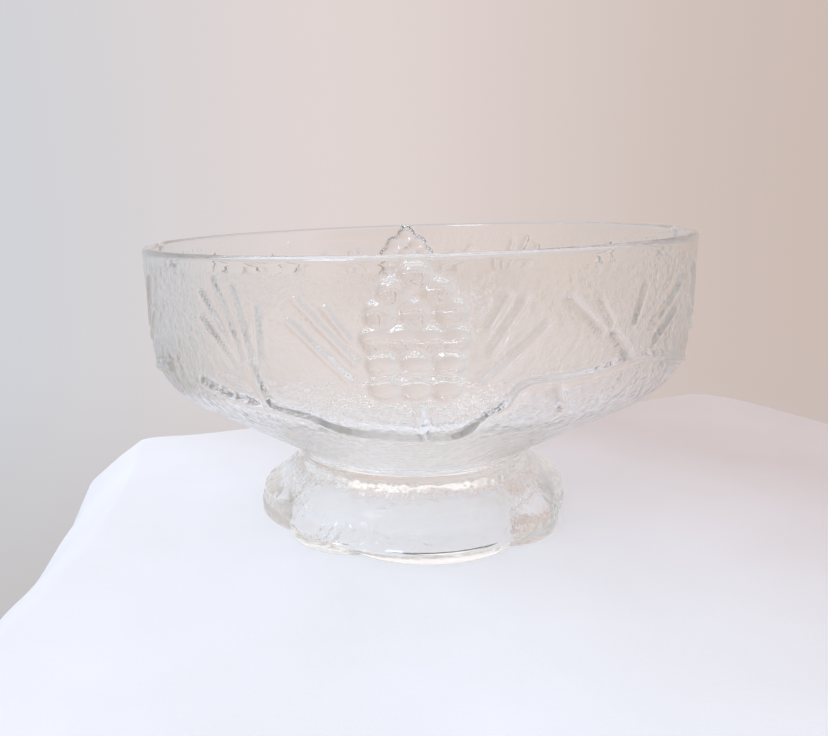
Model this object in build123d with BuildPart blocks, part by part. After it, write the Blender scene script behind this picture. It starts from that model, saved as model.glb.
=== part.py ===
from build123d import *
import os
from math import cos, pi, radians, sin, sqrt, tan

os.makedirs("parts", exist_ok=True)

# A pressed-glass punch bowl resting on its own glass stand.
# Millimetres, +Z up, origin at the centre of the stand's base, front cone towards -Y.

# Overall sizes
rim_r = 150.0  # outside radius at the lip
rim_z = 160.0  # height of the lip above the table
stand_z = 39.5  # height of the stand's top edge

# Bowl
wall = 6.0  # glass thickness of side and underside
foot_r = 61.0  # outside radius of the foot ring under the bowl
foot_wide = 7.0  # radial width of the foot ring
foot_hollow = 2.5  # depth of the hollow inside the foot ring
underside_gap = 1.1  # air between the stand's top edge and the bowl above it
foot_ledge = 5.0  # flat ledge outside the foot ring
floor_thick = 8.5  # glass above the foot ring
underside_slope = 31.0  # rise of the underside, degrees from level
side_flare = 2.3  # lean of the side, degrees from upright
side_turn_r = 33.0  # outside radius where the underside turns into the side
floor_turn_r = 14.0  # inside radius where the floor turns into the side
lip_round = 2.4

# Stand
base_r = 91.5  # outside radius over the lobes
band_h = 6.0  # height of the plain band round the base
band_step = 1.0  # how far the band stands out from the panels
shoulder_z = 15.5
shoulder_in = 2.0  # shoulder radius inside the base radius
waist_z = 28.0
waist_out = 4.5  # waist radius outside the top edge radius
lobe_sink = 2.0  # lobes finish this far inside the top edge
core_share = 0.918  # plain core under the lobes, as a share of the base radius
core_waist_in = 1.7  # the core's waist inside the lobes' waist
seat_depth = 3.5  # depth of the recess that takes the foot ring
seat_gap = 0.5  # radial clearance round the foot ring
top_lip = 5.5  # width of the edge round the recess
ceiling_thick = 7.0  # glass between recess and hollow
skirt_in = 14.5  # the hollow's mouth inside the base radius
skirt_taper = 3.0
ceiling_in = 10.0  # the hollow's ceiling edge inside the top edge radius
hollow_round = 7.0
lobe_count = 4  # broad lobes, with one narrow lobe between each two
broad_share = 0.53  # centre of a broad lobe's curve, as a share of the top edge radius
narrow_share = 0.82  # the same for a narrow lobe
broad_turn = 8.7  # a broad lobe's middle, degrees round from the front cone
shoulder_round = 8.0
waist_round = 12.0
base_round = 1.2
top_round = 1.5
sprig_r = 1.3  # three short needles on each narrow lobe
sprig_low = 8.5
sprig_high = 16.0
sprig_lean = 7.0
sprig_step = 9.0
sprig_turn = 12.0

# Relief on the bowl
scale_r = 5.1  # outline radius of one cone scale
scale_proud = 2.9  # height of a scale above the side
scale_step = 4.15  # angle between neighbouring scales of one row, degrees
plain_turn = -45.0  # a way round with no relief on the side
cone_rows = ((0.87, 1), (0.74, 2), (0.61, 3), (0.48, 4), (0.35, 3), (0.22, 2))
needle_r = 1.9
needle_sink = 0.4  # depth of a needle's axis below the side
twig_r = 2.6
twig_sink = 0.6
twig_knuckle = 1.2  # radius of a bend's knuckle, as a share of the bar's
needle_knuckle = 1.06
join_tol = 0.001  # edges nearer than this are taken as one when relief is joined

# Needles: angle and share of the side's height at the tip, then at the root
cone_needles = (
    (-19.2, 0.76, -9.4, 0.39),
    (-20.3, 0.62, -10.4, 0.28),
    (-14.0, 0.70, -10.2, 0.52),
    (16.8, 0.72, 11.6, 0.43),
    (20.8, 0.57, 10.9, 0.26),
    (14.1, 0.75, 11.1, 0.57),
)
left_fan = (
    (-38.8, 0.76, -30.4, 0.36),
    (-39.4, 0.60, -31.8, 0.34),
    (-35.5, 0.85, -29.8, 0.37),
    (-31.2, 0.81, -28.4, 0.40),
    (-26.4, 0.69, -26.4, 0.37),
)
right_fan = (
    (24.6, 0.71, 31.4, 0.50),
    (30.7, 0.67, 33.2, 0.54),
    (41.0, 0.74, 38.8, 0.52),
    (55.0, 0.74, 44.2, 0.47),
    (52.4, 0.54, 45.6, 0.38),
)
side_fan = (
    (62.0, 0.80, 67.0, 0.44),
    (59.0, 0.60, 67.5, 0.34),
    (118.0, 0.80, 113.0, 0.44),
    (121.0, 0.60, 112.5, 0.34),
)
# Twigs: angle and share of the side's height at each bend
left_twig = ((-28.2, 0.33), (-26.3, 0.165))
right_twig = ((34.0, 0.45), (37.4, 0.385))
cone_stalk = ((0.3, 0.095), (1.2, -0.045))
side_twig = ((22.9, 0.14), (25.2, 0.04))

# Heights and radii that follow from the sizes above
seat_z = stand_z - seat_depth
ledge_z = stand_z + underside_gap
ledge_r = foot_r + foot_ledge
slope = radians(underside_slope)
flare = radians(side_flare)
lean_total = (rim_z - ledge_z + ledge_r * tan(slope)) * tan(flare)
turn_r = (rim_r - lean_total) / (1 - tan(slope) * tan(flare))
turn_z = ledge_z + (turn_r - ledge_r) * tan(slope)
band = rim_z - turn_z
floor_z = seat_z + floor_thick
top_edge_r = foot_r + seat_gap + top_lip
waist_r = top_edge_r + waist_out
shoulder_r = base_r - shoulder_in
broad_offset = broad_share * top_edge_r
narrow_offset = narrow_share * top_edge_r
lobe_pitch = 360 / lobe_count
narrow_turn = broad_turn + lobe_pitch / 2

# The underside and the side are two straight lines joined by one arc.
inward_under = Vector(-sin(slope), cos(slope))
inward_side = Vector(-cos(flare), sin(flare))
turn_point = Vector(turn_r, turn_z)
turn_scale = side_turn_r / (1 + inward_under.dot(inward_side))
turn_centre = turn_point + (inward_under + inward_side) * turn_scale
middle_way = (inward_under + inward_side).normalized()


def outer_radius(height):
    """Outside radius of the bowl's plain surface at a height."""
    arc_low = turn_centre.Y - side_turn_r * cos(slope)
    arc_high = turn_centre.Y - side_turn_r * sin(flare)
    if height < arc_low:
        return ledge_r + (height - ledge_z) / tan(slope)
    if height > arc_high:
        return turn_r + (height - turn_z) * tan(flare)
    return turn_centre.X + sqrt(side_turn_r**2 - (height - turn_centre.Y) ** 2)


def on_side(angle, share, proud):
    """A point proud of the outside, turned from the front cone."""
    height = turn_z + share * band
    radius = outer_radius(height) + proud
    turn = radians(angle)
    return Vector(radius * sin(turn), -radius * cos(turn), height)


def wall_line(depth):
    """The bowl's outline from underside to lip, moved inwards by depth."""
    arc_r = side_turn_r - depth
    low = Vector(ledge_r, ledge_z) + inward_under * depth
    high = Vector(rim_r, rim_z) + inward_side * depth
    under_end = turn_centre - inward_under * arc_r
    side_start = turn_centre - inward_side * arc_r
    arc_mid = turn_centre - middle_way * arc_r
    return low, under_end, arc_mid, side_start, high


def bars(points, radius, knuckle):
    """Round bars through the points in order, with a rounder knuckle at each."""
    for start, end in zip(points, points[1:]):
        run = Plane(origin=start, z_dir=end - start)
        length = (end - start).length
        with Locations(run.location):
            Cylinder(radius, length, align=(Align.CENTER, Align.CENTER, Align.MIN))
    with Locations(*points):
        Sphere(radius * knuckle)


def needles(rows):
    """One straight needle for each row."""
    for tip_angle, tip_share, root_angle, root_share in rows:
        tip = on_side(tip_angle, tip_share, -needle_sink)
        root = on_side(root_angle, root_share, -needle_sink)
        bars([tip, root], needle_r, needle_knuckle)


def twig(rows):
    """A twig through its bends."""
    bends = [on_side(angle, share, -twig_sink) for angle, share in rows]
    bars(bends, twig_r, twig_knuckle)


def cone(angle):
    """The scales of one pine cone, in staggered rows."""
    cap_r = (scale_r**2 + scale_proud**2) / (2 * scale_proud)
    spots = []
    for share, count in cone_rows:
        for place in range(count):
            turn = angle + (place - (count - 1) / 2) * scale_step
            spots.append(on_side(turn, share, scale_proud - cap_r))
    with Locations(*spots):
        Sphere(cap_r)


# Relief: one cone, repeated at each quarter, and the needles and twigs for half of the bowl,
# repeated once.
with BuildPart() as cones:
    cone(90)

with BuildPart() as sprays:
    needles(cone_needles)
    needles(left_fan)
    needles(right_fan)
    needles(side_fan)

with BuildPart() as twigs:
    twig(left_twig)
    twig(right_twig)
    twig(cone_stalk)
    twig(side_twig)

# Bowl: a solid turned shape, the relief, then the hollow. It is turned from an upright
# half plane that meets the side where it is plain.
plain_way = radians(plain_turn - 90)
half_plane = Plane(
    origin=(0, 0, 0),
    x_dir=(cos(plain_way), sin(plain_way), 0),
    z_dir=(sin(plain_way), -cos(plain_way), 0),
)
with BuildPart() as blank:
    with BuildSketch(half_plane) as outside:
        with BuildLine():
            low, under_end, arc_mid, side_start, high = wall_line(0)
            Polyline((0, rim_z), (0, seat_z), (foot_r, seat_z), (foot_r, ledge_z), low, under_end)
            ThreePointArc(under_end, arc_mid, side_start)
            Polyline(side_start, high, (0, rim_z))
        make_face()
        fillet(outside.vertices().sort_by_distance((rim_r, rim_z, 0))[0], lip_round)
    revolve(axis=Axis.Z)

# The relief is joined to the blank one group at a time.
pressed = blank.part
for relief, turns in ((cones, (0, 90, 180, 270)), (sprays, (0, 180)), (twigs, (0, 180))):
    for turn in turns:
        pressed = pressed.fuse(relief.part.rotate(Axis.Z, turn), tol=join_tol)

with BuildPart() as bowl:
    add(pressed)
    with BuildSketch(half_plane) as hollow:
        with BuildLine():
            low, under_end, arc_mid, side_start, high = wall_line(wall)
            floor_r = low.X + (floor_z - low.Y) / tan(slope)
            lip_r = high.X + lip_round
            lip_low = high - Vector(sin(flare), cos(flare)) * lip_round
            lip_mid = Vector(lip_r - lip_round * cos(pi / 4), rim_z - lip_round * (1 - sin(pi / 4)))
            Polyline((0, rim_z + lip_round), (0, floor_z), (floor_r, floor_z), under_end)
            ThreePointArc(under_end, arc_mid, side_start)
            Line(side_start, lip_low)
            ThreePointArc(lip_low, lip_mid, (lip_r, rim_z))
            Polyline((lip_r, rim_z), (lip_r, rim_z + lip_round), (0, rim_z + lip_round))
        make_face()
        fillet(hollow.vertices().sort_by_distance((floor_r, floor_z, 0))[0], floor_turn_r)
    revolve(axis=Axis.Z, mode=Mode.SUBTRACT)
    with BuildSketch(Plane.XY.offset(seat_z)):
        Circle(foot_r - foot_wide)
    extrude(amount=foot_hollow, mode=Mode.SUBTRACT)
bowl.part.label = "bowl"
export_step(bowl.part, "parts/bowl.step")


def half_outline(points, rounds):
    """Half an upright section, with some of its corners rounded."""
    with BuildSketch(Plane.XZ) as half:
        with BuildLine():
            Polyline(*points, close=True)
        make_face()
        for corner, radius in rounds:
            fillet(half.vertices().sort_by_distance((*corner, 0))[0], radius)
    return half.sketch


def lobe_section(offset):
    """Half section of a lobe whose own centre line stands offset from the middle."""
    foot_corner = (base_r - offset, 0)
    shoulder = (shoulder_r - offset, shoulder_z)
    waist = (waist_r - offset, waist_z)
    points = [
        (0, 0),
        foot_corner,
        (base_r - offset, band_h),
        (base_r - band_step - offset, band_h + band_step),
        shoulder,
        waist,
        (top_edge_r - lobe_sink - offset, stand_z - top_round),
        (0, stand_z - top_round),
    ]
    rounds = [(foot_corner, base_round), (shoulder, shoulder_round), (waist, waist_round)]
    return half_outline(points, rounds)


def core_section():
    """Half section of the plain core under the lobes."""
    core_r = core_share * base_r
    shoulder = (core_r - band_step, shoulder_z)
    waist = (waist_r - core_waist_in, waist_z)
    top = (top_edge_r, stand_z)
    points = [(0, 0), (core_r, 0), shoulder, waist, top, (0, stand_z)]
    rounds = [(shoulder, shoulder_round), (waist, waist_round), (top, top_round)]
    return half_outline(points, rounds)


def hollow_section():
    """Half section of the space under the stand, open at the base."""
    ceiling = (top_edge_r - ceiling_in, seat_z - ceiling_thick)
    side = (base_r - skirt_in - skirt_taper, shoulder_z - band_step)
    points = [(0, 0), (base_r - skirt_in, 0), side, ceiling, (0, ceiling[1])]
    return half_outline(points, [(side, hollow_round), (ceiling, hollow_round)])


def on_lobe(turn, side_turn, height):
    """A point on a narrow lobe's panel, side_turn degrees round the lobe."""
    middle = radians(turn)
    way = radians(turn + side_turn)
    panel_r = base_r - band_step - narrow_offset
    x = narrow_offset * sin(middle) + panel_r * sin(way)
    y = -narrow_offset * cos(middle) - panel_r * cos(way)
    return Vector(x, y, height)


def sprig(turn):
    """Three short needles side by side on one narrow lobe."""
    for place in (-1, 0, 1):
        low_turn = sprig_turn + place * sprig_step
        root = on_lobe(turn, low_turn, sprig_low)
        tip = on_lobe(turn, low_turn + sprig_lean, sprig_high)
        bars([root, tip], sprig_r, needle_knuckle)


with BuildPart() as broad_lobe:
    revolve(lobe_section(broad_offset), axis=Axis.Z)

with BuildPart() as narrow_lobe:
    revolve(lobe_section(narrow_offset), axis=Axis.Z)

# Stand: core and lobes, hollow below, with a recess on top for the foot ring.
with BuildPart() as stand:
    revolve(core_section(), axis=Axis.Z)
    with PolarLocations(broad_offset, lobe_count, start_angle=broad_turn - 90):
        add(broad_lobe.part)
    with PolarLocations(narrow_offset, lobe_count, start_angle=narrow_turn - 90):
        add(narrow_lobe.part)
    for number in range(lobe_count):
        sprig(narrow_turn + number * lobe_pitch)
    revolve(hollow_section(), axis=Axis.Z, mode=Mode.SUBTRACT)
    with BuildSketch(Plane.XY.offset(seat_z)):
        Circle(foot_r + seat_gap)
    extrude(amount=seat_depth, mode=Mode.SUBTRACT)
stand.part.label = "stand"
export_step(stand.part, "parts/stand.step")
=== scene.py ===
"""Looks of a pressed-glass punch bowl standing on its scalloped glass stand."""

import logging
import math
from dataclasses import dataclass, field
from enum import Enum

import bpy
import numpy as np
from mathutils import Matrix, Vector


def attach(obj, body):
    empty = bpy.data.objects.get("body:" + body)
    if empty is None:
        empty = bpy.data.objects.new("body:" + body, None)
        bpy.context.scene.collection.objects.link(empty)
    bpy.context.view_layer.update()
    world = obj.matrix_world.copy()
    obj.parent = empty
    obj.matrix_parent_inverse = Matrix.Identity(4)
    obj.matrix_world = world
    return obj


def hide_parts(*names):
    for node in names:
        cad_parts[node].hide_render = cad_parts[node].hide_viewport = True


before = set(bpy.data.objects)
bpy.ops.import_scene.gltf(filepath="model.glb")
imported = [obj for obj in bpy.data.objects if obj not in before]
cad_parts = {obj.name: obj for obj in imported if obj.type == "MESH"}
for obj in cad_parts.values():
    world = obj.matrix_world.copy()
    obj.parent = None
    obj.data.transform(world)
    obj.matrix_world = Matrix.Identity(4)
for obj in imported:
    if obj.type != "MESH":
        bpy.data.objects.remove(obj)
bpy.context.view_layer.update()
log = logging.getLogger("punch_bowl")

MM = 0.001
GLASS_BOUNCES = 32
Array = np.ndarray


class Body(Enum):
    """The two moving bodies of the frame."""

    BOWL = "bowl"
    STAND = "stand"


class Slot(Enum):
    """The record's material slots."""

    BOWL = "bowl_glass"
    STAND = "stand_glass"


def smooth_step(low: float, high: float, value: Array) -> Array:
    """Eases from 0 at low to 1 at high.

    Args:
        low: value where the result is 0.
        high: value where the result is 1.
        value: values to ease.

    Returns:
        The eased values.
    """
    t = np.clip((value - low) / (high - low), 0.0, 1.0)
    return t * t * (3.0 - 2.0 * t)


def value_noise(x: Array, y: Array, wrap: int, seed: int) -> Array:
    """Smooth random values on a grid of unit cells that closes on itself along x.

    Args:
        x: positions round, in cells.
        y: positions up, in cells.
        wrap: number of cells once round.
        seed: choice of random values.

    Returns:
        Values from -1 to 1, one for each position.
    """
    rng = np.random.default_rng(seed)
    rows = int(np.ceil(y.max())) + 3
    table = rng.uniform(-1.0, 1.0, (rows, wrap))
    column = np.floor(x).astype(int)
    row = np.floor(y).astype(int)
    u, v = x - column, y - row
    u, v = u * u * (3 - 2 * u), v * v * (3 - 2 * v)
    left, right = column % wrap, (column + 1) % wrap
    low, high = np.clip(row, 0, rows - 1), np.clip(row + 1, 0, rows - 1)
    bottom = table[low, left] * (1 - u) + table[low, right] * u
    top = table[high, left] * (1 - u) + table[high, right] * u
    return bottom * (1 - v) + top * v


def closed_mesh(name: str, rings: list[Array], low_pole: Vector, high_pole: Vector) -> bpy.types.Object:
    """Joins rings of points into one closed skin.

    Args:
        name: name of the new piece.
        rings: rings of equal length, in order along the skin, each (count, 3).
        low_pole: the point that closes the first ring.
        high_pole: the point that closes the last ring.

    Returns:
        The new piece, smooth shaded, with its faces turned outwards.
    """
    count = len(rings[0])
    points = np.concatenate(rings + [np.array([low_pole, high_pole])])
    here = np.arange(count)
    after = (here + 1) % count
    faces = []
    for k in range(len(rings) - 1):
        base, above = k * count, (k + 1) * count
        faces.append(np.stack([base + here, base + after, above + after, above + here], -1))
    quads = np.concatenate(faces)
    low, high = len(points) - 2, len(points) - 1
    last = (len(rings) - 1) * count
    caps = [(low, int(b), int(a)) for a, b in zip(here, after)]
    caps += [(high, int(last + a), int(last + b)) for a, b in zip(here, after)]
    mesh = bpy.data.meshes.new(name)
    mesh.from_pydata([tuple(p) for p in points], [], [tuple(q) for q in quads.tolist()] + caps)
    mesh.validate()
    mesh.shade_smooth()
    piece = bpy.data.objects.new(name, mesh)
    bpy.context.scene.collection.objects.link(piece)
    return piece


def store_grain(piece: bpy.types.Object, grain: Array) -> None:
    """Keeps how grained each point of a piece is, for its finish.

    Args:
        piece: the piece.
        grain: one value from 0, smooth, to 1, grained, for each point.
    """
    layer = piece.data.attributes.new("grain", "FLOAT", "POINT")
    layer.data.foreach_set("value", grain.astype(np.float32))


@dataclass(frozen=True)
class PressedGlass:
    """Clear pressed glass with a faint body colour and a pressed grain."""

    name: str
    surface_tint: tuple[float, float, float] = (1.0, 1.0, 0.995)
    depth_tint: tuple[float, float, float] = (0.90, 0.93, 0.80)
    depth_density: float = 1.6
    shadow_tint: tuple[float, float, float] = (0.965, 0.965, 0.96)
    refraction: float = 1.5
    polish: float = 0.015
    dulling: float = 0.09
    grain_per_metre: float = 420.0
    fine_per_metre: float = 1100.0
    grain_depth: float = 0.00035

    def build(self) -> bpy.types.Material:
        """Makes the material.

        Returns:
            The new node material.
        """
        material = bpy.data.materials.new(self.name)
        material.use_nodes = True
        nodes, links = material.node_tree.nodes, material.node_tree.links
        shader = nodes["Principled BSDF"]
        output = nodes["Material Output"]
        shader.inputs["Base Color"].default_value = (*self.surface_tint, 1.0)
        shader.inputs["IOR"].default_value = self.refraction
        shader.inputs["Transmission Weight"].default_value = 1.0
        place = nodes.new("ShaderNodeTexCoord")
        grain = nodes.new("ShaderNodeAttribute")
        grain.attribute_name = "grain"
        coarse = self._noise(material, place, self.grain_per_metre, 2.0)
        fine = self._noise(material, place, self.fine_per_metre, 1.0)
        blend = nodes.new("ShaderNodeMath")
        blend.operation = "MULTIPLY_ADD"
        blend.inputs[1].default_value = 0.35
        links.new(fine.outputs["Fac"], blend.inputs[0])
        links.new(coarse.outputs["Fac"], blend.inputs[2])
        bump = nodes.new("ShaderNodeBump")
        bump.inputs["Distance"].default_value = self.grain_depth
        links.new(grain.outputs["Fac"], bump.inputs["Strength"])
        links.new(blend.outputs[0], bump.inputs["Height"])
        links.new(bump.outputs["Normal"], shader.inputs["Normal"])
        dull = nodes.new("ShaderNodeMath")
        dull.operation = "MULTIPLY"
        links.new(coarse.outputs["Fac"], dull.inputs[0])
        links.new(grain.outputs["Fac"], dull.inputs[1])
        rough = nodes.new("ShaderNodeMapRange")
        rough.inputs["To Min"].default_value = self.polish
        rough.inputs["To Max"].default_value = self.polish + self.dulling
        links.new(dull.outputs[0], rough.inputs["Value"])
        links.new(rough.outputs["Result"], shader.inputs["Roughness"])
        path = nodes.new("ShaderNodeLightPath")
        clear = nodes.new("ShaderNodeBsdfTransparent")
        clear.inputs["Color"].default_value = (*self.shadow_tint, 1.0)
        either = nodes.new("ShaderNodeMath")
        either.operation = "MAXIMUM"
        links.new(path.outputs["Is Shadow Ray"], either.inputs[0])
        links.new(path.outputs["Is Diffuse Ray"], either.inputs[1])
        through = nodes.new("ShaderNodeMixShader")
        links.new(either.outputs[0], through.inputs[0])
        links.new(shader.outputs["BSDF"], through.inputs[1])
        links.new(clear.outputs["BSDF"], through.inputs[2])
        links.new(through.outputs["Shader"], output.inputs["Surface"])
        depth = nodes.new("ShaderNodeVolumeAbsorption")
        depth.inputs["Color"].default_value = (*self.depth_tint, 1.0)
        depth.inputs["Density"].default_value = self.depth_density
        links.new(depth.outputs["Volume"], output.inputs["Volume"])
        return material

    @staticmethod
    def _noise(
        material: bpy.types.Material, place: bpy.types.Node, scale: float, detail: float
    ) -> bpy.types.Node:
        """Adds a noise in the piece's own coordinates.

        Args:
            material: the material to add it to.
            place: the texture coordinate node.
            scale: bumps per metre.
            detail: octaves of finer noise.

        Returns:
            The noise node.
        """
        noise = material.node_tree.nodes.new("ShaderNodeTexNoise")
        noise.inputs["Scale"].default_value = scale
        noise.inputs["Detail"].default_value = detail
        material.node_tree.links.new(place.outputs["Object"], noise.inputs["Vector"])
        return noise


@dataclass(frozen=True)
class PlainCloth:
    """Fine white cloth that covers the table, with painted shade in broad creases and painted shade
    towards the back right.
    """

    name: str
    light: tuple[float, float, float] = (0.85, 0.88, 0.93)
    shade: tuple[float, float, float] = (0.82, 0.84, 0.88)
    far_shade_tint: tuple[float, float, float] = (0.76, 0.65, 0.60)
    far_shade_way: tuple[float, float, float] = (0.75, 0.65, 0.0)
    weave_per_metre: float = 900.0
    crease_shade_per_metre: float = 9.0
    relief: float = 0.0004

    def build(self) -> bpy.types.Material:
        """Makes the material.

        Returns:
            The new node material.
        """
        material = bpy.data.materials.new(self.name)
        material.use_nodes = True
        nodes, links = material.node_tree.nodes, material.node_tree.links
        shader = nodes["Principled BSDF"]
        shader.inputs["Roughness"].default_value = 0.95
        shader.inputs["Specular IOR Level"].default_value = 0.1
        place = nodes.new("ShaderNodeTexCoord")
        # Painted shade and light: broad patches of the flat cloth are coloured darker or lighter, standing
        # in for the shading of its creases.
        crease_shade = nodes.new("ShaderNodeTexNoise")
        crease_shade.inputs["Scale"].default_value = self.crease_shade_per_metre
        crease_shade.inputs["Detail"].default_value = 3.0
        links.new(place.outputs["Object"], crease_shade.inputs["Vector"])
        ramp = nodes.new("ShaderNodeValToRGB")
        ramp.color_ramp.elements[0].position = 0.35
        ramp.color_ramp.elements[0].color = (*self.shade, 1.0)
        ramp.color_ramp.elements[1].position = 0.65
        ramp.color_ramp.elements[1].color = (*self.light, 1.0)
        links.new(crease_shade.outputs["Fac"], ramp.inputs["Fac"])
        # Painted shade: the cloth's colour is multiplied towards a darker, warmer tint towards the back
        # right, standing in for the dimmer, warmer light there.
        along = nodes.new("ShaderNodeVectorMath")
        along.operation = "DOT_PRODUCT"
        along.inputs[1].default_value = self.far_shade_way
        links.new(place.outputs["Object"], along.inputs[0])
        far_shade = nodes.new("ShaderNodeMapRange")
        far_shade.inputs["From Min"].default_value = -0.08
        far_shade.inputs["From Max"].default_value = 0.22
        links.new(along.outputs["Value"], far_shade.inputs["Value"])
        far_shade_mix = nodes.new("ShaderNodeMix")
        far_shade_mix.data_type = "RGBA"
        far_shade_mix.blend_type = "MULTIPLY"
        far_shade_mix.inputs[7].default_value = (*self.far_shade_tint, 1.0)
        links.new(far_shade.outputs["Result"], far_shade_mix.inputs[0])
        links.new(ramp.outputs["Color"], far_shade_mix.inputs[6])
        links.new(far_shade_mix.outputs[2], shader.inputs["Base Color"])
        weave = nodes.new("ShaderNodeTexNoise")
        weave.inputs["Scale"].default_value = self.weave_per_metre
        links.new(place.outputs["Object"], weave.inputs["Vector"])
        bump = nodes.new("ShaderNodeBump")
        bump.inputs["Strength"].default_value = 0.35
        bump.inputs["Distance"].default_value = self.relief
        links.new(weave.outputs["Fac"], bump.inputs["Height"])
        links.new(bump.outputs["Normal"], shader.inputs["Normal"])
        return material


@dataclass
class BowlShape:
    """The turned shape of the bowl, in millimetres."""

    lip_radius: float = 150.0
    lip_height: float = 160.0
    wall: float = 6.0
    seat_height: float = 36.0
    ledge_height: float = 40.6
    foot_radius: float = 61.0
    foot_width: float = 7.0
    foot_hollow: float = 2.5
    ledge_radius: float = 66.0
    floor_height: float = 44.5
    slope: float = math.radians(31.0)
    flare: float = math.radians(2.3)
    turn_round: float = 33.0
    lip_round: float = 2.4
    inner_round: float = 14.0

    def __post_init__(self) -> None:
        """Works out where the underside and the side meet."""
        lean = (self.lip_height - self.ledge_height) + self.ledge_radius * math.tan(self.slope)
        steep = math.tan(self.slope) * math.tan(self.flare)
        self.turn_radius = (self.lip_radius - lean * math.tan(self.flare)) / (1 - steep)
        self.turn_height = self.ledge_height + (self.turn_radius - self.ledge_radius) * math.tan(
            self.slope
        )
        self.band = self.lip_height - self.turn_height
        self.under_in = np.array([-math.sin(self.slope), math.cos(self.slope)])
        self.side_in = np.array([-math.cos(self.flare), math.sin(self.flare)])
        reach = self.turn_round / (1 + float(self.under_in @ self.side_in))
        corner = np.array([self.turn_radius, self.turn_height])
        self.centre = corner + reach * (self.under_in + self.side_in)

    def outer_radius(self, height: Array) -> Array:
        """Radius of the plain outside at each height.

        Args:
            height: heights above the table.

        Returns:
            The radii.
        """
        low = self.centre[1] - self.turn_round * math.cos(self.slope)
        high = self.centre[1] - self.turn_round * math.sin(self.flare)
        under = self.ledge_radius + (height - self.ledge_height) / math.tan(self.slope)
        side = self.turn_radius + (height - self.turn_height) * math.tan(self.flare)
        rise = np.clip((height - self.centre[1]) / self.turn_round, -1.0, 1.0)
        arc = self.centre[0] + self.turn_round * np.sqrt(1.0 - rise**2)
        return np.where(height < low, under, np.where(height > high, side, arc))

    def on_side(self, angle: Array, share: Array) -> Array:
        """Points on the outside.

        Args:
            angle: degrees round from the front.
            share: share of the way from the turn up to the lip.

        Returns:
            Points as (count, 3).
        """
        height = self.turn_height + np.asarray(share, float) * self.band
        radius = self.outer_radius(height)
        turn = np.radians(np.asarray(angle, float))
        return np.stack([radius * np.sin(turn), -radius * np.cos(turn), height], -1)

    def outline(self, depth: float, step: float) -> Array:
        """The outside from ledge to lip, moved inwards.

        Args:
            depth: how far inwards.
            step: greatest distance between points.

        Returns:
            Points of radius and height, going up.
        """
        arc_r = self.turn_round - depth
        low = np.array([self.ledge_radius, self.ledge_height]) + depth * self.under_in
        under_end = self.centre - arc_r * self.under_in
        side_start = self.centre - arc_r * self.side_in
        high = np.array([self.lip_radius, self.lip_height]) + depth * self.side_in
        start = math.atan2(-self.under_in[1], -self.under_in[0])
        end = math.atan2(-self.side_in[1], -self.side_in[0])
        turns = np.linspace(start, end, max(8, int(arc_r * abs(end - start) / step)))
        arc = self.centre + arc_r * np.stack([np.cos(turns), np.sin(turns)], -1)
        return np.concatenate([line(low, under_end, step), arc, line(side_start, high, step)[1:]])


def line(start: Array, end: Array, step: float) -> Array:
    """Points from start to end, no further apart than step.

    Args:
        start: first point.
        end: last point.
        step: greatest distance between points.

    Returns:
        The points, with the last one left out.
    """
    count = max(1, math.ceil(float(np.linalg.norm(end - start)) / step))
    share = np.arange(count)[:, None] / count
    return start + share * (end - start)


@dataclass
class Rod:
    """A rounded ridge pressed along a path on the outside."""

    path: Array
    radius: float
    proud: float

    def height(self, points: Array) -> Array:
        """Height of the ridge over each point of the plain surface.

        Args:
            points: points as (count, 3).

        Returns:
            One height for each point.
        """
        result = np.zeros(len(points))
        for start, end in zip(self.path, self.path[1:]):
            low = np.minimum(start, end) - self.radius - 1.0
            high = np.maximum(start, end) + self.radius + 1.0
            near = np.flatnonzero(((points > low) & (points < high)).all(1))
            if not len(near):
                continue
            run = end - start
            local = points[near] - start
            along = np.clip(local @ run / (run @ run), 0.0, 1.0)
            gap = np.linalg.norm(local - along[:, None] * run, axis=1) / self.radius
            ridge = self.proud * np.sqrt(np.clip(1.0 - gap**2, 0.0, 1.0))
            result[near] = np.maximum(result[near], ridge)
        return result


@dataclass
class PineCone:
    """Overlapping rounded scales in rows, pressed on the outside."""

    shape: BowlShape
    angle: float
    rows: tuple[tuple[float, int, float], ...] = (
        (0.875, 1, 0.0),
        (0.785, 2, 6.4),
        (0.675, 3, 5.2),
        (0.53, 4, 3.9),
        (0.385, 3, 5.1),
        (0.255, 3, 4.7),
    )
    half_width: float = 7.0
    half_height: float = 6.4
    proud: float = 3.6
    roundness: float = 0.42
    tip_rise: float = 0.15
    body_width: float = 21.0
    body_height: float = 26.0
    body_share: float = 0.55
    body_proud: float = 1.0

    def height(self, angles: Array, heights: Array) -> Array:
        """Height of the cone over each point of the plain surface.

        Args:
            angles: degrees round of each point.
            heights: heights of each point.

        Returns:
            One height for each point.
        """
        shape = self.shape
        round_mm = math.radians(1.0) * shape.lip_radius
        offset = (angles - self.angle + 180.0) % 360.0 - 180.0
        across = offset * round_mm
        middle = shape.turn_height + self.body_share * shape.band
        body = 1.0 - (across / self.body_width) ** 2 - ((heights - middle) / self.body_height) ** 2
        result = self.body_proud * np.sqrt(np.clip(body, 0.0, 1.0))
        for share, count, step in self.rows:
            height = shape.turn_height + share * shape.band
            for place in range(count):
                middle_mm = (place - (count - 1) / 2) * step * round_mm
                tilt = (heights - height) / self.half_height
                fall = 1.0 - ((across - middle_mm) / self.half_width) ** 2 - tilt**2
                scale = np.clip(fall, 0.0, 1.0) ** self.roundness
                result = np.maximum(result, self.proud * scale * (1.0 + self.tip_rise * tilt))
        return result


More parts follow.
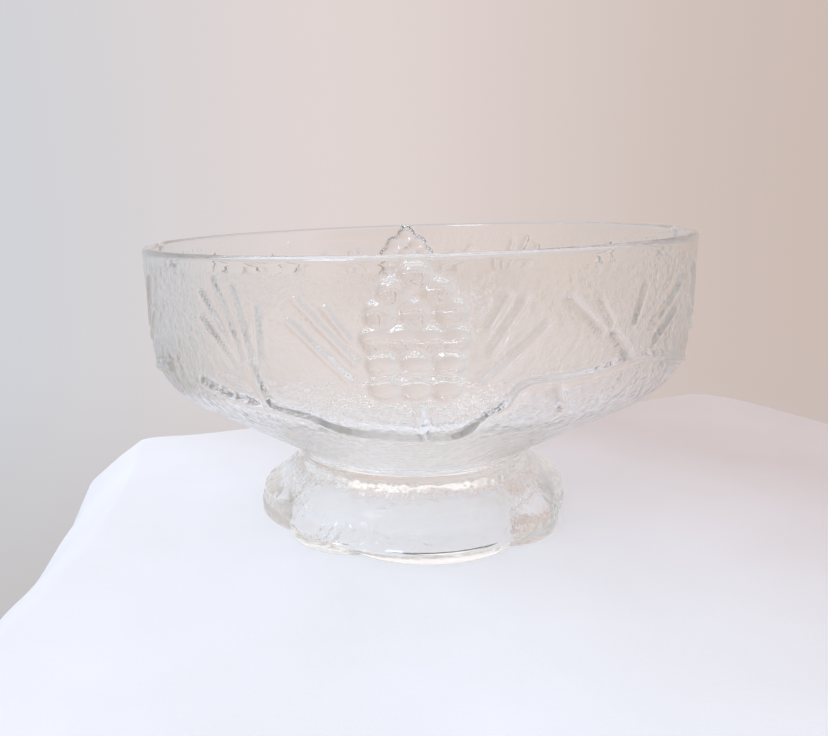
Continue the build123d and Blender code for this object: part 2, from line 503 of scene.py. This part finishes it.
CONE_NEEDLES = (
    (-19.2, 0.76, -9.4, 0.39),
    (-20.3, 0.62, -10.4, 0.28),
    (-14.0, 0.70, -10.2, 0.52),
    (16.8, 0.72, 11.6, 0.43),
    (20.8, 0.57, 10.9, 0.26),
    (14.1, 0.75, 11.1, 0.57),
)
LEFT_FAN = (
    (-38.8, 0.76, -30.4, 0.36),
    (-39.4, 0.60, -31.8, 0.34),
    (-35.5, 0.85, -29.8, 0.37),
    (-31.2, 0.81, -28.4, 0.40),
    (-26.4, 0.69, -26.4, 0.37),
)
RIGHT_FAN = (
    (24.6, 0.71, 31.4, 0.50),
    (30.7, 0.67, 33.2, 0.54),
    (41.0, 0.74, 38.8, 0.52),
    (55.0, 0.74, 44.2, 0.47),
    (52.4, 0.54, 45.6, 0.38),
)
SIDE_FAN = (
    (62.0, 0.80, 67.0, 0.44),
    (59.0, 0.60, 67.5, 0.34),
    (118.0, 0.80, 113.0, 0.44),
    (121.0, 0.60, 112.5, 0.34),
)
TWIGS = (
    ((-28.2, 0.35), (-27.0, 0.22), (-25.4, 0.08)),
    ((33.7, 0.47), (35.8, 0.40), (38.6, 0.29)),
    ((0.3, 0.12), (0.9, 0.02), (1.8, -0.12)),
    ((22.9, 0.21), (24.0, 0.14), (25.2, 0.05)),
    ((90.0, 0.17), (90.0, 0.03)),
)
BRANCH = (
    (-41.0, 0.17),
    (-34.5, 0.11),
    (-25.9, 0.07),
    (-18.5, 0.02),
    (-12.6, -0.07),
    (-6.5, -0.105),
    (2.6, -0.13),
    (8.0, -0.10),
    (11.4, 0.03),
    (15.0, 0.12),
    (18.0, 0.22),
    (28.0, 0.24),
    (38.6, 0.29),
    (48.0, 0.26),
    (60.0, 0.17),
    (74.0, 0.07),
    (90.0, 0.03),
    (106.0, 0.07),
    (118.0, 0.16),
    (127.0, 0.21),
)


def smooth_lengths(bends: Array, parts: int) -> Array:
    """A smooth curve from the second bend to the last but one.

    Args:
        bends: the bends, (count, 2).
        parts: number of lengths between neighbouring bends.

    Returns:
        The curve's points, without the last one.
    """
    t = np.arange(parts)[:, None] / parts
    lengths = []
    for a, b, c, d in zip(bends, bends[1:], bends[2:], bends[3:]):
        bow = (2 * a - 5 * b + 4 * c - d) * t**2 + (3 * b - a - 3 * c + d) * t**3
        lengths.append(0.5 * (2 * b + (c - a) * t + bow))
    return np.concatenate(lengths)


def eased_path(bends: Array, parts: int) -> Array:
    """A smooth path through bends.

    Args:
        bends: the bends, (count, 2).
        parts: number of lengths between neighbouring bends.

    Returns:
        The path's points.
    """
    held = np.concatenate([bends[:1], bends, bends[-1:]])
    return np.concatenate([smooth_lengths(held, parts), bends[-1:]])


@dataclass
class PunchBowl:
    """The bowl: turned shape, pine cones, needles, twigs and branch, and a pressed grain."""

    shape: BowlShape = field(default_factory=BowlShape)
    finish: PressedGlass = PressedGlass("bowl_glass")
    columns: int = 690
    fine_step: float = 1.15
    coarse_step: float = 9.0
    needle_radius: float = 1.75
    needle_proud: float = 1.4
    twig_radius: float = 2.7
    twig_proud: float = 1.9
    branch_radius: float = 2.6
    branch_proud: float = 1.8
    grain_cell: float = 2.1
    grain_proud: float = 0.2
    plain_band: float = 6.5
    fade_in: float = 6.0
    fade_out: float = 2.0
    ridge_calm: float = 0.85
    calm_from: float = 0.2
    calm_to: float = 0.9
    under_from: float = 17.0
    under_every: int = 5

    def rods(self, turned: float) -> list[Rod]:
        """Needles, twigs and branch of one half.

        Args:
            turned: degrees to turn the half.

        Returns:
            The ridges.
        """
        shape = self.shape
        rods = []
        for tip_angle, tip_share, root_angle, root_share in CONE_NEEDLES + LEFT_FAN + RIGHT_FAN + SIDE_FAN:
            angles = np.linspace(tip_angle, root_angle, 5) + turned
            path = shape.on_side(angles, np.linspace(tip_share, root_share, 5))
            rods.append(Rod(path, self.needle_radius, self.needle_proud))
        for bends in TWIGS:
            eased = eased_path(np.array(bends), 6)
            path = shape.on_side(eased[:, 0] + turned, eased[:, 1])
            rods.append(Rod(path, self.twig_radius, self.twig_proud))
        eased = eased_path(np.array(BRANCH), 6)
        path = shape.on_side(eased[:, 0] + turned, eased[:, 1])
        rods.append(Rod(path, self.branch_radius, self.branch_proud))
        return rods

    def relief(self, angles: Array, points: Array) -> tuple[Array, Array]:
        """Heights of everything pressed on the outside.

        Args:
            angles: degrees round of each point.
            points: points of the plain outside.

        Returns:
            The heights, and how grained each point is.
        """
        pressed = np.zeros(len(points))
        for number in range(4):
            cone = PineCone(self.shape, number * 90.0)
            pressed = np.maximum(pressed, cone.height(angles, points[:, 2]))
        for turned in (0.0, 180.0):
            for rod in self.rods(turned):
                pressed = np.maximum(pressed, rod.height(points))
        top = self.shape.lip_height - self.plain_band
        ledge = self.shape.ledge_height
        low_fade = smooth_step(ledge, ledge + self.fade_in, points[:, 2])
        field_share = (1.0 - smooth_step(top - self.fade_out, top, points[:, 2])) * low_fade
        field_share *= 1.0 - self.ridge_calm * smooth_step(self.calm_from, self.calm_to, pressed)
        around = int(2 * math.pi * self.shape.lip_radius / self.grain_cell)
        noise = value_noise(angles % 360.0 / 360.0 * around, points[:, 2] / self.grain_cell, around, 7)
        return pressed + self.grain_proud * noise * field_share, field_share

    def build(self) -> bpy.types.Object:
        """Makes the bowl's skin.

        Returns:
            The bowl, in metres.
        """
        shape = self.shape
        outside = shape.outline(0.0, self.fine_step)
        # The underside's relief is slight, so most of its rings are left out.
        under = outside[:, 1] < shape.turn_height - self.under_from
        kept = np.ones(len(outside), bool)
        kept[under] = np.arange(int(under.sum())) % self.under_every == 0
        outside = outside[kept & (outside[:, 1] < shape.lip_height - shape.lip_round)]
        inside = shape.outline(shape.wall, self.coarse_step)
        inside = inside[inside[:, 1] < shape.lip_height - shape.lip_round][::-1]
        lip = self._lip()
        foot = self._foot()
        floor = self._floor()
        inside = inside[inside[:, 1] > floor[0, 1] + 1.0]
        outline = np.concatenate([foot, outside, lip, inside, floor])
        pressed_from, pressed_to = len(foot), len(foot) + len(outside)
        turns = np.arange(self.columns) / self.columns * 2 * math.pi
        rings, grains = [], []
        normals = self._normals(outline)
        for number, (radius, height) in enumerate(outline):
            ring = np.stack(
                [radius * np.sin(turns), -radius * np.cos(turns), np.full(self.columns, height)], -1
            )
            grain = np.zeros(self.columns)
            if pressed_from <= number < pressed_to:
                proud, grain = self.relief(np.degrees(turns), ring)
                out, up = normals[number]
                push = np.stack([out * np.sin(turns), -out * np.cos(turns), np.full(self.columns, up)], -1)
                ring = ring + proud[:, None] * push
            rings.append(ring * MM)
            grains.append(grain)
        low = Vector((0, 0, (shape.seat_height + shape.foot_hollow) * MM))
        high = Vector((0, 0, shape.floor_height * MM))
        bowl = closed_mesh("glass_bowl", rings, low, high)
        store_grain(bowl, np.concatenate(grains + [np.zeros(2)]))
        bowl.data.materials.append(self.finish.build())
        return bowl

    @staticmethod
    def _normals(outline: Array) -> Array:
        """Outward directions along an outline.

        Args:
            outline: the outline's points, (count, 2).

        Returns:
            One direction for each point.
        """
        run = np.gradient(outline, axis=0)
        out = np.stack([run[:, 1], -run[:, 0]], -1)
        return out / np.maximum(np.linalg.norm(out, axis=1, keepdims=True), 1e-9)

    def _lip(self) -> Array:
        """The rounded lip, from outside over to inside.

        Returns:
            The lip's points, (count, 2).
        """
        shape = self.shape
        r = shape.lip_round
        outer = np.array([shape.lip_radius - r, shape.lip_height - r])
        inner = np.array([shape.lip_radius - shape.wall + r, shape.lip_height - r])
        turns = np.radians(np.linspace(0, 90, 5))
        first = outer + r * np.stack([np.cos(turns), np.sin(turns)], -1)
        second = inner + r * np.stack([-np.sin(turns), np.cos(turns)], -1)
        return np.concatenate([first, second])

    def _foot(self) -> Array:
        """The hollow and the foot ring under the bowl, going outwards.

        Returns:
            The outline's points, (count, 2).
        """
        shape = self.shape
        hollow = shape.seat_height + shape.foot_hollow
        inner = shape.foot_radius - shape.foot_width
        return np.array(
            [
                (inner * 0.3, hollow),
                (inner * 0.7, hollow),
                (inner - 0.3, hollow),
                (inner, hollow - 0.3),
                (inner, shape.seat_height + 0.3),
                (inner + 0.3, shape.seat_height),
                (shape.foot_radius - 0.3, shape.seat_height),
                (shape.foot_radius, shape.seat_height + 0.3),
                (shape.foot_radius, shape.ledge_height - 0.4),
                (shape.foot_radius + 0.4, shape.ledge_height),
                (shape.ledge_radius - 1.5, shape.ledge_height),
            ]
        )

    def _floor(self) -> Array:
        """The rounded turn into the floor, then the floor going inwards.

        Returns:
            The outline's points, (count, 2).
        """
        shape = self.shape
        low = np.array([shape.ledge_radius, shape.ledge_height]) + shape.wall * shape.under_in
        meet = low[0] + (shape.floor_height - low[1]) / math.tan(shape.slope)
        reach = shape.inner_round * math.tan(shape.slope / 2)
        centre = np.array([meet - reach, shape.floor_height + shape.inner_round])
        turns = np.linspace(shape.slope, 0.0, 6)
        arc = centre + shape.inner_round * np.stack([np.sin(turns), -np.cos(turns)], -1)
        flat = np.array([(meet * 0.7, shape.floor_height), (meet * 0.35, shape.floor_height)])
        return np.concatenate([arc, flat])


@dataclass
class StandShape:
    """The stand's sizes, in millimetres."""

    top_height: float = 39.5
    base_radius: float = 91.5
    band_height: float = 6.0
    band_step: float = 1.0
    shoulder_height: float = 15.5
    shoulder_in: float = 2.0
    waist_height: float = 28.0
    waist_radius: float = 71.5
    top_radius: float = 67.0
    lobe_top_radius: float = 65.0
    core_share: float = 0.918
    core_waist_radius: float = 69.8
    broad_offset: float = 35.5
    narrow_offset: float = 54.9
    broad_turn: float = 8.7
    lobe_count: int = 4
    recess_radius: float = 61.5
    recess_height: float = 35.85
    ceiling_height: float = 29.0
    ceiling_radius: float = 57.0
    skirt_radius: float = 77.0
    skirt_taper: float = 3.0
    bend_reach: float = 3.2
    bend_softness: float = 2.0

    def bulge(self, heights: Array, shoulder: float, waist: float, top: float, foot: float) -> Array:
        """Radius of one turned outline at each height.

        Args:
            heights: heights above the table.
            shoulder: radius at the shoulder.
            waist: radius at the waist.
            top: radius at the top edge.
            foot: radius of the panel just over the plain band.

        Returns:
            The radii.
        """
        panel_height = self.band_height + self.band_step
        bends_z = [0.0, panel_height, self.shoulder_height, self.waist_height, self.top_height]
        bends_r = [foot, foot, shoulder, waist, top]
        offsets = np.linspace(-self.bend_reach, self.bend_reach, 17)
        weights = np.exp(-((offsets / self.bend_softness) ** 2))
        layers = []
        for offset in offsets:
            layers.append(np.interp(np.clip(heights + offset, 0.0, self.top_height), bends_z, bends_r))
        return np.average(layers, axis=0, weights=weights)

    def outside(self, turns: Array, heights: Array) -> Array:
        """Radius of the scalloped outside.

        Args:
            turns: radians round of each column.
            heights: heights, one for each row.

        Returns:
            Radii as (rows, columns).
        """
        panel = self.base_radius - self.band_step
        lobe = self.bulge(
            heights, self.base_radius - self.shoulder_in, self.waist_radius, self.lobe_top_radius, panel
        )
        core_foot = self.core_share * self.base_radius - self.band_step
        core = self.bulge(heights, core_foot, self.core_waist_radius, self.top_radius, core_foot)
        return self.scalloped(turns, core[:, None], lobe[:, None])

    def band_radius(self, turns: Array) -> Array:
        """Radius of the plain band round the base.

        Args:
            turns: radians round of each column.

        Returns:
            One radius for each column.
        """
        core = np.full(len(turns), self.core_share * self.base_radius)
        return self.scalloped(turns, core, self.base_radius)

    def scalloped(self, turns: Array, core: Array, lobe: Array | float) -> Array:
        """Widens a round core by the lobes, which are broad and narrow by turns.

        Args:
            turns: radians round of each column.
            core: radius of the core.
            lobe: how far out the lobes reach.

        Returns:
            The greatest of the radii at each place.
        """
        result = core
        pitch = 2 * math.pi / self.lobe_count
        for offset, first in ((self.broad_offset, 0.0), (self.narrow_offset, pitch / 2)):
            middle = math.radians(self.broad_turn) + first
            away = (turns - middle + pitch / 2) % pitch - pitch / 2
            inside = np.clip((lobe - offset) ** 2 - (offset * np.sin(away)) ** 2, 0.0, None)
            result = np.maximum(result, offset * np.cos(away) + np.sqrt(inside))
        return result


@dataclass
class PedestalStand:
    """The separate stand: scalloped outside with pressed sprigs, hollow below."""

    shape: StandShape = field(default_factory=StandShape)
    finish: PressedGlass = PressedGlass("stand_glass")
    columns: int = 640
    rows: int = 60
    sprig_radius: float = 1.5
    sprig_proud: float = 1.2
    sprig_low: float = 8.5
    sprig_high: float = 16.0
    sprig_lean: float = 7.0
    sprig_step: float = 9.0
    sprig_turn: float = 12.0
    grain_cell: float = 3.0
    grain_proud: float = 0.55
    frost_turn: float = 14.0
    frost_half: float = 0.19
    frost_proud: float = 0.45
    frost_fade: float = 0.12
    grain_radius: float = 80.0
    rim_drop: float = 1.5
    band_lap: float = 0.15

    def _sprigs(self) -> list[Rod]:
        """Three short needles on each narrow lobe.

        Returns:
            The needles.
        """
        shape = self.shape
        rods = []
        panel = shape.base_radius - shape.band_step - shape.narrow_offset
        for number in range(shape.lobe_count):
            turn = shape.broad_turn + (number + 0.5) * 360 / shape.lobe_count
            middle = math.radians(turn)
            for place in (-1, 0, 1):
                low = self.sprig_turn + place * self.sprig_step
                ends = []
                for way, height in ((low, self.sprig_low), (low + self.sprig_lean, self.sprig_high)):
                    side = math.radians(turn + way)
                    x = shape.narrow_offset * math.sin(middle) + panel * math.sin(side)
                    y = -shape.narrow_offset * math.cos(middle) - panel * math.cos(side)
                    ends.append((x, y, height))
                rods.append(Rod(np.array(ends), self.sprig_radius, self.sprig_proud))
        return rods

    def build(self) -> bpy.types.Object:
        """Makes the stand's skin.

        Returns:
            The stand, in metres.
        """
        shape = self.shape
        turns = np.arange(self.columns) / self.columns * 2 * math.pi
        sin, cos = np.sin(turns), np.cos(turns)
        rings, grains = [], []

        def ring(radius: Array, height: Array, grain: Array) -> None:
            """Adds one ring.

            Args:
                radius: radius of each column, or one for all.
                height: height of each column, or one for all.
                grain: how grained each column is, or one for all.
            """
            radii = np.broadcast_to(radius, turns.shape)
            heights = np.broadcast_to(height, turns.shape)
            rings.append(np.stack([radii * sin, -radii * cos, heights], -1))
            grains.append(np.broadcast_to(grain, turns.shape))

        hollow = [
            (shape.ceiling_radius * 0.5, shape.ceiling_height),
            (shape.ceiling_radius - 5.0, shape.ceiling_height),
            (shape.ceiling_radius - 2.0, shape.ceiling_height - 0.6),
            (shape.ceiling_radius + 1.5, shape.ceiling_height - 3.0),
            (shape.skirt_radius - shape.skirt_taper - 3.5, shape.shoulder_height + 1.5),
            (shape.skirt_radius - shape.skirt_taper - 0.8, shape.shoulder_height - 2.5),
            (shape.skirt_radius - shape.skirt_taper + 0.6, shape.shoulder_height - 6.0),
            (shape.skirt_radius - 0.3, 0.4),
        ]
        for radius, height in hollow:
            ring(radius, height, 0.0)
        ring(shape.skirt_radius, 0.0, 0.0)
        band = shape.band_radius(turns)
        for inset, height in ((1.2, 0.0), (0.35, 0.35), (0.0, 1.2), (0.0, 3.0), (0.0, 5.4), (0.12, 5.85)):
            ring(band - inset, height, 0.0)
        rim = shape.top_height - self.rim_drop
        heights = np.linspace(shape.band_height + 0.2, rim, self.rows)
        radii = shape.outside(turns, heights)
        step = 1.0 - smooth_step(shape.band_height, shape.band_height + shape.band_step, heights)
        blend = step[:, None]
        radii = radii * (1.0 - blend) + (band - self.band_lap)[None, :] * blend
        around = int(2 * math.pi * self.grain_radius / self.grain_cell)
        sprigs = self._sprigs()
        for row, height in enumerate(heights):
            low = smooth_step(shape.band_height + 0.5, shape.band_height + 2.5, np.array([height]))
            high = 1.0 - smooth_step(shape.top_height - 8.0, shape.top_height - 4.0, np.array([height]))
            grain = float(low[0] * high[0])
            noise = value_noise(
                turns / (2 * math.pi) * around, np.full(len(turns), height / self.grain_cell), around, 11
            )
            points = np.stack([radii[row] * sin, -radii[row] * cos, np.full(len(turns), height)], -1)
            proud = np.zeros(len(turns))
            for sprig in sprigs:
                proud = np.maximum(proud, sprig.height(points))
            finer = 2 * around
            fine_rows = np.full(len(turns), 2 * height / self.grain_cell)
            fine = value_noise(turns / (2 * math.pi) * finer, fine_rows, finer, 5)
            frost_middle = math.radians(shape.broad_turn - self.frost_turn)
            away = np.abs((turns - frost_middle + math.pi) % (2 * math.pi) - math.pi)
            frost = 1.0 - smooth_step(self.frost_half, self.frost_half + self.frost_fade, away)
            relief = self.grain_proud * noise + self.frost_proud * fine * frost
            ring(radii[row] + proud + relief * grain, height, grain * (1.0 + frost))
        top = radii[-1]
        for share in (0.3, 0.75):
            ring(top + (shape.top_radius - self.rim_drop - top) * share, rim + 1.2 * share, 0.0)
        ring(shape.top_radius - 1.6, shape.top_height, 0.0)
        for radius, height in (
            (shape.recess_radius + 1.2, shape.top_height),
            (shape.recess_radius + 0.25, shape.top_height - 0.25),
            (shape.recess_radius, shape.top_height - 0.8),
            (shape.recess_radius, shape.recess_height + 0.3),
            (shape.recess_radius - 0.3, shape.recess_height),
            (shape.recess_radius * 0.6, shape.recess_height),
        ):
            ring(radius, height, 0.0)
        low = Vector((0, 0, shape.ceiling_height * MM))
        high = Vector((0, 0, shape.recess_height * MM))
        stand = closed_mesh("glass_stand", [r * MM for r in rings], low, high)
        store_grain(stand, np.concatenate(grains + [np.zeros(2)]))
        stand.data.materials.append(self.finish.build())
        return stand


@dataclass
class TableCloth:
    """The cloth-covered table, its edge rounding over into a hanging side."""

    finish: PlainCloth = PlainCloth("cloth_white")
    edge: tuple[tuple[float, float], ...] = (
        (-235, -430),
        (-212, -290),
        (-191, -170),
        (-187, -100),
        (-189, -47),
        (-200, 40),
        (-217, 112),
        (-206, 132),
        (-168, 141),
        (-93, 169),
        (30, 190),
        (161, 211),
        (236, 246),
        (262, 250),
        (290, 226),
        (322, 160),
        (370, 60),
        (430, -100),
        (430, -430),
    )
    edge_round: float = 9.0
    settle: float = 0.3
    tilt: float = 35.0
    hang: tuple[tuple[float, float], ...] = (
        (12.0, 4.0),
        (30.0, 22.0),
        (42.0, 52.0),
        (50.0, 130.0),
        (70.0, 420.0),
    )
    round_steps: int = 6
    fold_depth: float = 0.5
    fold_turn: float = 0.55
    fold_growth: float = 2.5

    def build(self) -> bpy.types.Object:
        """Makes the table's top and its hanging sides.

        Returns:
            The cloth, in metres.
        """
        bends = np.array(self.edge, float)
        outline = smooth_lengths(np.concatenate([bends[-1:], bends, bends[:2]]), 8)
        run = np.roll(outline, -1, axis=0) - np.roll(outline, 1, axis=0)
        out = np.stack([run[:, 1], -run[:, 0]], -1)
        out /= np.linalg.norm(out, axis=1, keepdims=True)
        centre = outline.mean(axis=0)
        if ((outline - centre) * out).sum() < 0:
            out = -out
        levels = [(-self.edge_round, -self.settle)]
        for turn in np.radians(np.linspace(9, self.tilt, self.round_steps)):
            reach = -self.edge_round + self.edge_round * math.sin(turn)
            levels.append((reach, -self.settle + self.edge_round * (math.cos(turn) - 1)))
        for reach, fall in self.hang:
            levels.append((reach, -self.settle - self.edge_round - fall))
        fold = 1.0 + self.fold_depth * np.sin(np.arange(len(outline)) * self.fold_turn)
        rings = []
        for level, (reach, height) in enumerate(levels):
            spread = fold * max(0, level - self.round_steps - 1) * self.fold_growth
            flat = outline + out * (reach + spread)[:, None]
            rings.append(np.column_stack([flat, np.full(len(flat), height)]) * MM)
        faces = []
        count = len(outline)
        for k in range(len(rings) - 1):
            for i in range(count):
                j = (i + 1) % count
                faces.append((k * count + i, k * count + j, (k + 1) * count + j, (k + 1) * count + i))
        points = np.concatenate(rings)
        faces.append(tuple(range(count))[::-1])
        mesh = bpy.data.meshes.new("cloth_top")
        mesh.from_pydata([tuple(p) for p in points], [], faces)
        mesh.validate()
        mesh.shade_smooth()
        cloth = bpy.data.objects.new("cloth_top", mesh)
        bpy.context.scene.collection.objects.link(cloth)
        cloth.data.materials.append(self.finish.build())
        return cloth


@dataclass
class Studio:
    """Table, light and camera."""

    cloth: TableCloth = field(default_factory=TableCloth)
    eye: tuple[float, float, float] = (-0.00632, -0.45255, 0.18311)
    yaw: float = -0.1038
    pitch: float = 0.2177
    roll: float = -0.0368
    lens: float = 33.7
    side_shift: float = 0.1125
    wall_left: tuple[float, float, float] = (0.62, 0.645, 0.69)
    wall_middle: tuple[float, float, float] = (0.76, 0.67, 0.65)
    wall_right: tuple[float, float, float] = (0.60, 0.50, 0.455)
    above: tuple[float, float, float] = (1.05, 1.02, 1.02)
    behind: tuple[float, float, float] = (0.84, 0.74, 0.66)
    doorway: tuple[float, float, float] = (0.20, 0.14, 0.10)
    doorway_way: tuple[float, float, float] = (0.25, -0.95, 0.08)
    window: tuple[float, float, float] = (8.5, 10.5, 14.0)
    window_way: tuple[float, float, float] = (-0.45, -0.62, 0.62)
    below: tuple[float, float, float] = (0.55, 0.53, 0.53)
    warm_blend: tuple[float, float] = (-0.1, 0.5)
    left_blend: tuple[float, float] = (-0.6, 0.0)
    ahead_blend: tuple[float, float] = (-0.4, 0.2)
    doorway_blend: tuple[float, float] = (0.76, 0.99)
    above_blend: tuple[float, float] = (0.35, 0.8)
    window_blend: tuple[float, float] = (0.984, 0.989)
    below_blend: tuple[float, float] = (-0.55, -0.15)
    key_power: float = 0.35
    key_colour: tuple[float, float, float] = (0.93, 0.96, 1.0)
    key_size: float = 0.9
    key_place: tuple[float, float, float] = (-0.75, -0.25, 1.0)
    key_aim: tuple[float, float, float] = (0.0, 0.0, 0.08)

    def build(self) -> None:
        """Sets up the table, the light and the camera."""
        self.cloth.build()
        self._world()
        self._key()
        self._camera()

    def _world(self) -> None:
        """A soft room: pale walls ahead, a bright ceiling and a dim side behind the camera."""
        world = bpy.data.worlds.new("room")
        bpy.context.scene.world = world
        world.use_nodes = True
        nodes, links = world.node_tree.nodes, world.node_tree.links
        background = nodes["Background"]
        place = nodes.new("ShaderNodeTexCoord")
        parts = nodes.new("ShaderNodeSeparateXYZ")
        links.new(place.outputs["Generated"], parts.inputs["Vector"])
        warm = self._mix(world, parts.outputs["X"], self.warm_blend, self.wall_middle, self.wall_right)
        wall = self._mix(world, parts.outputs["X"], self.left_blend, self.wall_left, warm)
        sided = self._mix(world, parts.outputs["Y"], self.ahead_blend, self.behind, wall)
        door = self._nearness(world, place.outputs["Generated"], self.doorway_way)
        doored = self._mix(world, door, self.doorway_blend, sided, self.doorway)
        topped = self._mix(world, parts.outputs["Z"], self.above_blend, doored, self.above)
        pane = self._nearness(world, place.outputs["Generated"], self.window_way)
        lit = self._mix(world, pane, self.window_blend, topped, self.window)
        lowered = self._mix(world, parts.outputs["Z"], self.below_blend, self.below, lit)
        links.new(lowered, background.inputs["Color"])

    @staticmethod
    def _nearness(
        world: bpy.types.World, ray: bpy.types.NodeSocket, way: tuple[float, float, float]
    ) -> bpy.types.NodeSocket:
        """How nearly a ray points one way.

        Args:
            world: the world to add nodes to.
            ray: the ray's direction.
            way: the direction to compare with.

        Returns:
            A socket that is 1 where they agree.
        """
        near = world.node_tree.nodes.new("ShaderNodeVectorMath")
        near.operation = "DOT_PRODUCT"
        near.inputs[1].default_value = Vector(way).normalized()
        world.node_tree.links.new(ray, near.inputs[0])
        return near.outputs["Value"]

    @staticmethod
    def _mix(
        world: bpy.types.World,
        value: bpy.types.NodeSocket,
        blend: tuple[float, float],
        first: tuple[float, float, float] | bpy.types.NodeSocket,
        second: tuple[float, float, float] | bpy.types.NodeSocket,
    ) -> bpy.types.NodeSocket:
        """Blends two colours as a value rises.

        Args:
            world: the world to add nodes to.
            value: the value that drives the blend.
            blend: values where only the first and only the second colour shows.
            first: a colour, or a socket that carries one.
            second: a colour, or a socket that carries one.

        Returns:
            The blended colour's socket.
        """
        nodes, links = world.node_tree.nodes, world.node_tree.links
        share = nodes.new("ShaderNodeMapRange")
        share.interpolation_type = "SMOOTHSTEP"
        share.inputs["From Min"].default_value, share.inputs["From Max"].default_value = blend
        links.new(value, share.inputs["Value"])
        mix = nodes.new("ShaderNodeMix")
        mix.data_type = "RGBA"
        links.new(share.outputs["Result"], mix.inputs[0])
        for socket, colour in ((mix.inputs[6], first), (mix.inputs[7], second)):
            if isinstance(colour, tuple):
                socket.default_value = (*colour, 1.0)
            else:
                links.new(colour, socket)
        return mix.outputs[2]

    def _key(self) -> None:
        """One large soft light, high on the left."""
        light = bpy.data.lights.new("key", "AREA")
        light.shape = "SQUARE"
        light.size = self.key_size
        light.energy = self.key_power
        light.color = self.key_colour
        lamp = bpy.data.objects.new("key", light)
        lamp.location = self.key_place
        towards = Vector(self.key_aim) - Vector(self.key_place)
        lamp.rotation_euler = towards.to_track_quat("-Z", "Y").to_euler()
        bpy.context.scene.collection.objects.link(lamp)

    def _camera(self) -> None:
        """Places the camera."""
        data = bpy.data.cameras.new("camera")
        data.lens = self.lens
        data.sensor_width = 36.0
        data.shift_x = self.side_shift
        data.clip_start = 0.01
        camera = bpy.data.objects.new("camera", data)
        level = math.cos(self.pitch)
        ahead = Vector((math.sin(self.yaw) * level, math.cos(self.yaw) * level, -math.sin(self.pitch)))
        level_right = Vector((math.cos(self.yaw), -math.sin(self.yaw), 0.0))
        level_up = level_right.cross(ahead)
        right = math.cos(self.roll) * level_right + math.sin(self.roll) * level_up
        up = -math.sin(self.roll) * level_right + math.cos(self.roll) * level_up
        turn = Matrix((right, up, -ahead)).transposed().to_4x4()
        camera.matrix_world = Matrix.Translation(Vector(self.eye)) @ turn
        bpy.context.scene.collection.objects.link(camera)
        bpy.context.scene.camera = camera


def main() -> None:
    """Builds the set, the stand and the bowl in turn."""
    logging.basicConfig(level=logging.INFO, format="%(name)s: %(message)s")
    scene = bpy.context.scene
    scene.view_settings.view_transform = "Standard"
    # With the usual twelve bounces the paths of light are cut short and the glass goes dark.
    scene.cycles.max_bounces = GLASS_BOUNCES
    scene.cycles.transmission_bounces = GLASS_BOUNCES
    scene.cycles.glossy_bounces = GLASS_BOUNCES // 2
    Studio().build()
    log.info("studio: table, light and camera")
    for maker, body, slot in (
        (PedestalStand(), Body.STAND, Slot.STAND),
        (PunchBowl(), Body.BOWL, Slot.BOWL),
    ):
        piece = maker.build()
        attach(piece, body.value)
        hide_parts(body.value)
        log.info("%s: %d faces", piece.name, len(piece.data.polygons))


if __name__ == "__main__":
    main()
